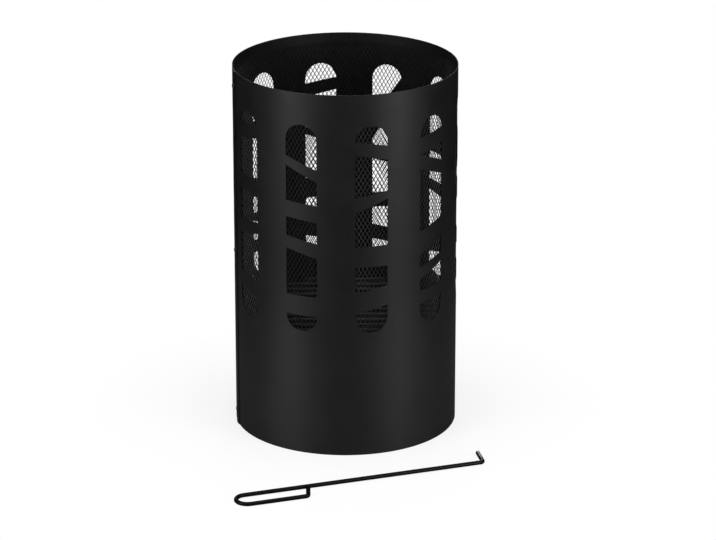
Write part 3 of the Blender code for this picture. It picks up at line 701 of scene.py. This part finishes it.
def bent_line(corners, bends, steps=10):
    """Points along straight runs whose corners are rounded to their bend radii."""
    points = [corners[0]]
    for corner, bend, before, after in zip(corners[1:], bends, corners, corners[2:]):
        back = (before - corner).normalized()
        on = (after - corner).normalized()
        half = back.angle(on) / 2
        centre = corner + (back + on).normalized() * bend / math.sin(half)
        first = corner + back * bend / math.tan(half) - centre
        last = corner + on * bend / math.tan(half) - centre
        sweep = first.angle(last)
        for k in range(steps + 1):
            share = k / steps
            spoke = first * math.sin((1 - share) * sweep) + last * math.sin(share * sweep)
            points.append(centre + spoke / math.sin(sweep))
    return points + [corners[-1]]


def hoop_line(first, last, high):
    """An upside-down U from one foot to the other, whose rod runs across at a height."""
    corners = [Vector(first), Vector((*first[:2], high)), Vector((*last[:2], high)), Vector(last)]
    return bent_line(corners, [HOOP_BEND, HOOP_BEND])


def add_rod(name, points, diameter, material, body, slot, node, closed=False):
    """A round rod along points, with chamfered ends unless it is a closed ring."""
    chamfer = diameter / 8
    if not closed:
        first = points[0] + (points[1] - points[0]).normalized() * chamfer
        last = points[-1] + (points[-2] - points[-1]).normalized() * chamfer
        points = [points[0], first, *points[1:-1], last, points[-1]]
    curve = bpy.data.curves.new(name, "CURVE")
    curve.dimensions = "3D"
    curve.bevel_depth = diameter / 2
    curve.bevel_resolution = 5
    curve.use_fill_caps = not closed
    spline = curve.splines.new("POLY")
    spline.points.add(len(points) - 1)
    spline.use_cyclic_u = closed
    spline.use_smooth = True
    for spot, point in zip(spline.points, points):
        spot.co = (*point, 1.0)
    if not closed:
        spline.points[0].radius = spline.points[-1].radius = 0.75
    add_piece(name, curve, material, body, slot, node)


elbow = bent_line([Vector((1, 0, 0)), Vector(), Vector((0, 1, 0))], [0.1])
print("a right angle takes", len(elbow), "points")

# %% [markdown]
# ## The grate
#
# Thirteen straight bars lie on a ring and on two bent frames, whose legs stand in the ash pan. Two
# hoops on the ring let the poker's hook lift it out. Every crossing is held by a small weld bead.

# %% Grate rods
RING_RADIUS = 156.13 * MM
RING_Z = 174.7 * MM
BAR_Z = 182 * MM
BAR_PITCH = 24 * MM
BAR_OVERHANG = 2 * MM  # past the middle of the ring's rod
LEG_X, LEG_Y, LEG_FOOT = 80.84 * MM, 113.33 * MM, 3 * MM
HOOP_Y, HOOP_TOP = 36 * MM, 230 * MM
HOOP_X = math.sqrt(RING_RADIUS**2 - HOOP_Y**2)
ring_points = [polar(RING_RADIUS, 360 * i / 120, RING_Z) for i in range(120)]
grate = (rod_scale, "fire_grate", "grate_steel")
add_rod("ring", ring_points, 8 * MM, *grate, "grate_ring", closed=True)

for number, x in ((1, -LEG_X), (2, LEG_X)):
    line = hoop_line((x, -LEG_Y, LEG_FOOT), (x, LEG_Y, LEG_FOOT), RING_Z)
    add_rod(f"leg_frame_{number}", line, 8 * MM, *grate, f"grate_leg_frame_{number}")

bar_places = [(number - 6) * BAR_PITCH for number in range(13)]
for number, y in enumerate(bar_places, 1):
    half = math.sqrt((RING_RADIUS + BAR_OVERHANG) ** 2 - y * y)
    ends = [Vector((-half, y, BAR_Z)), Vector((half, y, BAR_Z))]
    add_rod(f"bar_{number:02d}", ends, 6 * MM, *grate, f"grate_bar_{number:02d}")

for number, x in ((1, -HOOP_X), (2, HOOP_X)):
    foot = RING_Z + 4.3 * MM  # on the ring's rod
    line = hoop_line((x, -HOOP_Y, foot), (x, HOOP_Y, foot), HOOP_TOP)
    add_rod(f"grate_hoop_{number}", line, 6 * MM, *grate, f"grate_handle_{number}")
print("bars at", [round(y, 3) for y in bar_places])

# %% [markdown]
# A weld bead is a small frozen puddle. Each one is a squashed ball whose vertices are pushed in
# and out by noise, and all the beads of a body are kept in one mesh.

# %% Weld beads
def add_beads(name, spots, material, body, slot):
    """Joins small lumpy balls into one piece. A spot is (place, half sizes along x, y, z)."""
    bm = bmesh.new()
    for place, size in spots:
        ball = bmesh.ops.create_icosphere(bm, subdivisions=2, radius=1.0)["verts"]
        for vertex in ball:
            wobble = 1 + 0.18 * noise.noise(vertex.co * 1.7 + place * 90)
            vertex.co = place + Vector([a * b * wobble for a, b in zip(vertex.co, size)])
    add_piece(name, smooth_mesh(bm, name, 60), material, body, slot)


RING_BEAD = (2.6 * MM, 1.6 * MM, 1.5 * MM)
FRAME_BEAD = (2.4 * MM, 1.5 * MM, 1.4 * MM)
HOOP_BEAD = (4.2 * MM, 4.2 * MM, 1.6 * MM)
BEAD_OFFSET = 3.2 * MM  # beside a bar and below it, where it meets the rod that it lies on

grate_spots = []
for y in bar_places:
    x = math.sqrt(RING_RADIUS**2 - y * y)
    for end in (-x, x):
        for side in (-1, 1):
            spot = Vector((end, y + side * BEAD_OFFSET, BAR_Z - BEAD_OFFSET))
            grate_spots.append((spot, RING_BEAD))
    for x in (-LEG_X, LEG_X):
        if abs(y) < LEG_Y - HOOP_BEND:
            spot = Vector((x, y + BEAD_OFFSET, BAR_Z - BEAD_OFFSET))
            grate_spots.append((spot, FRAME_BEAD))
for x in (-HOOP_X, HOOP_X):
    for y in (-HOOP_Y, HOOP_Y):
        grate_spots.append((Vector((x, y, RING_Z + 4.6 * MM)), HOOP_BEAD))
add_beads("grate_welds", grate_spots, *grate)
print(len(grate_spots), "beads on the grate")

# %% [markdown]
# ## Hoops of the pan
#
# Two hoops of 5 mm rod are welded inside the pan's wall. They are just wide enough for the hook.

# %% Pan hoops
PAN_HOOP_SEAT = 147.85 * MM  # from the axis to the middle of a hoop's upright rod
PAN_HOOP_X, PAN_HOOP_FOOT, PAN_HOOP_TOP = 35 * MM, 10.7 * MM, 76.5 * MM
PAN_HOOP_Y = math.sqrt(PAN_HOOP_SEAT**2 - PAN_HOOP_X**2)
PAN_BEAD = (1.3 * MM, 1.6 * MM, 5 * MM)
pan_finish = (pan_paint, "ash_pan", "black_pan_steel")
pan_spots = []
for number, way in ((1, -1), (2, 1)):
    y = way * PAN_HOOP_Y
    feet = [(side * PAN_HOOP_X, y, PAN_HOOP_FOOT) for side in (-1, 1)]
    line = hoop_line(*feet, PAN_HOOP_TOP)
    add_rod(f"pan_hoop_{number}", line, 5 * MM, *pan_finish, f"pan_handle_{number}")
    for side in (-1, 1):
        for z in (16 * MM, 32 * MM):
            spot = Vector((side * (PAN_HOOP_X + 2.3 * MM), y + way * 1.6 * MM, z))
            pan_spots.append((spot, PAN_BEAD))
add_beads("pan_welds", pan_spots, *pan_finish)
print(len(pan_spots), "beads in the pan")

# %% [markdown]
# ## Seam fasteners
#
# Three screws close the lap seam. Their heads are domed with a six-sided socket. A head is a
# section spun round its own axis, with the socket cut out by a prism. The nuts inside keep
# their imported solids, whose shape is right, and only get the blackened finish.

# %% Screws and nuts
SEAM_OUT = 181.34 * MM  # where the heads sit, from the basket's axis
SCREW_ENDS = (171.42 * MM, 173.04 * MM, 173.04 * MM)  # the lowest also holds the base plate
SHANK_RADIUS, TIP_RADIUS, TIP_LENGTH = 2.5 * MM, 2.1 * MM, 0.5 * MM  # its tip is chamfered
HEAD_RADIUS, HEAD_HEIGHT = 4.75 * MM, 2.7 * MM
SOCKET_RADIUS, SOCKET_FLOOR = 1.75 * MM, 1.1 * MM


def screw_mesh(inner_end):
    """A domed screw along +Z, from its inner end to its head."""
    flat_top = 78  # degrees up a quarter circle, where the dome gives way to its flat top
    outline = [
        (0, inner_end),
        (TIP_RADIUS, inner_end),
        (SHANK_RADIUS, inner_end + TIP_LENGTH),
        (SHANK_RADIUS, SEAM_OUT),
    ]
    for point in arc((0, 0), 1.0, 0, flat_top, 8):
        rise = HEAD_HEIGHT * point.y / math.sin(math.radians(flat_top))
        outline.append((HEAD_RADIUS * point.x, SEAM_OUT + rise))
    outline.append((0, SEAM_OUT + HEAD_HEIGHT))
    low, high = SEAM_OUT + SOCKET_FLOOR, SEAM_OUT + 4 * MM
    socket = [(0, low), (SOCKET_RADIUS, low), (SOCKET_RADIUS, high), (0, high)]
    body = smooth_mesh(spin(outline, 40), "screw")
    return shade(cut_mesh(body, smooth_mesh(spin(socket, 6), "socket")))


outwards = polar(1.0, SEAM_AZIMUTH).to_track_quat("Z", "Y").to_matrix().to_4x4()
for number, (z, inner_end) in enumerate(zip(SCREW_HEIGHTS, SCREW_ENDS), 1):
    mesh = screw_mesh(inner_end)
    mesh.transform(Matrix.Translation((0, 0, z)) @ outwards)
    add_piece(
        f"screw_{number}", mesh, black_oxide, "basket", "black_screw_steel", f"seam_screw_{number}"
    )
    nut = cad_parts[f"seam_nut_{number}"]
    nut.data.materials.clear()
    nut.data.materials.append(black_oxide)
print("screws and nuts dressed")

# %% [markdown]
# ## The poker
#
# One rod, bent in a flat plane: a long loop for the hand, the shaft, and a short hook at its far
# end. It lies on the ground, at a slant to the view, so its height is half its thickness.

# %% Poker
POKER_ROD = 7 * MM
POKER_AZIMUTH = 19  # where the shaft passes nearest to the basket, and also its slant to +X
POKER_AWAY = 95.8 * MM  # from the wall to the shaft there
START_TO_NEAREST = 261.9 * MM
SHAFT_LENGTH, HOOK_LENGTH = 398 * MM, 40 * MM
GRIP_LENGTH, GRIP_WIDTH = 93 * MM, 36 * MM
POKER_BEND = 6 * MM

bearing = math.radians(POKER_AZIMUTH)
along = Vector((math.cos(bearing), math.sin(bearing), 0))
across = Vector((-along.y, along.x, 0))
nearest = polar(WALL_RADIUS + POKER_AWAY, POKER_AZIMUTH, POKER_ROD / 2)
shaft_start = nearest - along * START_TO_NEAREST


def poker_spot(length, side):
    """The point that far along the shaft and to its side, towards the basket."""
    return shaft_start + along * length + across * side


turn, hook = math.radians(72), math.radians(82)  # of the grip's end and of the hook
stop = POKER_ROD / 2 * (1 + math.cos(turn)) + 0.3 * MM  # where the grip's end meets the shaft
corners = [
    poker_spot(GRIP_LENGTH + (GRIP_WIDTH - stop) / math.tan(turn), -stop),
    poker_spot(GRIP_LENGTH, -GRIP_WIDTH),
    poker_spot(-GRIP_WIDTH / 2, -GRIP_WIDTH),
    poker_spot(-GRIP_WIDTH / 2, 0),
    poker_spot(SHAFT_LENGTH, 0),
    poker_spot(SHAFT_LENGTH + HOOK_LENGTH * math.cos(hook), HOOK_LENGTH * math.sin(hook)),
]
hairpin = GRIP_WIDTH / 2 - 0.03 * MM  # a hair less than half, so that the two bends don't touch
line = bent_line(corners, [POKER_BEND, hairpin, hairpin, POKER_BEND])
add_rod("poker_rod", line, POKER_ROD, powder_coat, "poker", "poker_paint", "poker")
print("poker:", round(SHAFT_LENGTH + GRIP_WIDTH / 2 + POKER_ROD, 3), "m long with its loop")

# %% [markdown]
# ## Finish
#
# The last line sets Blender's Standard view transform.

scene.view_settings.view_transform = "Standard"
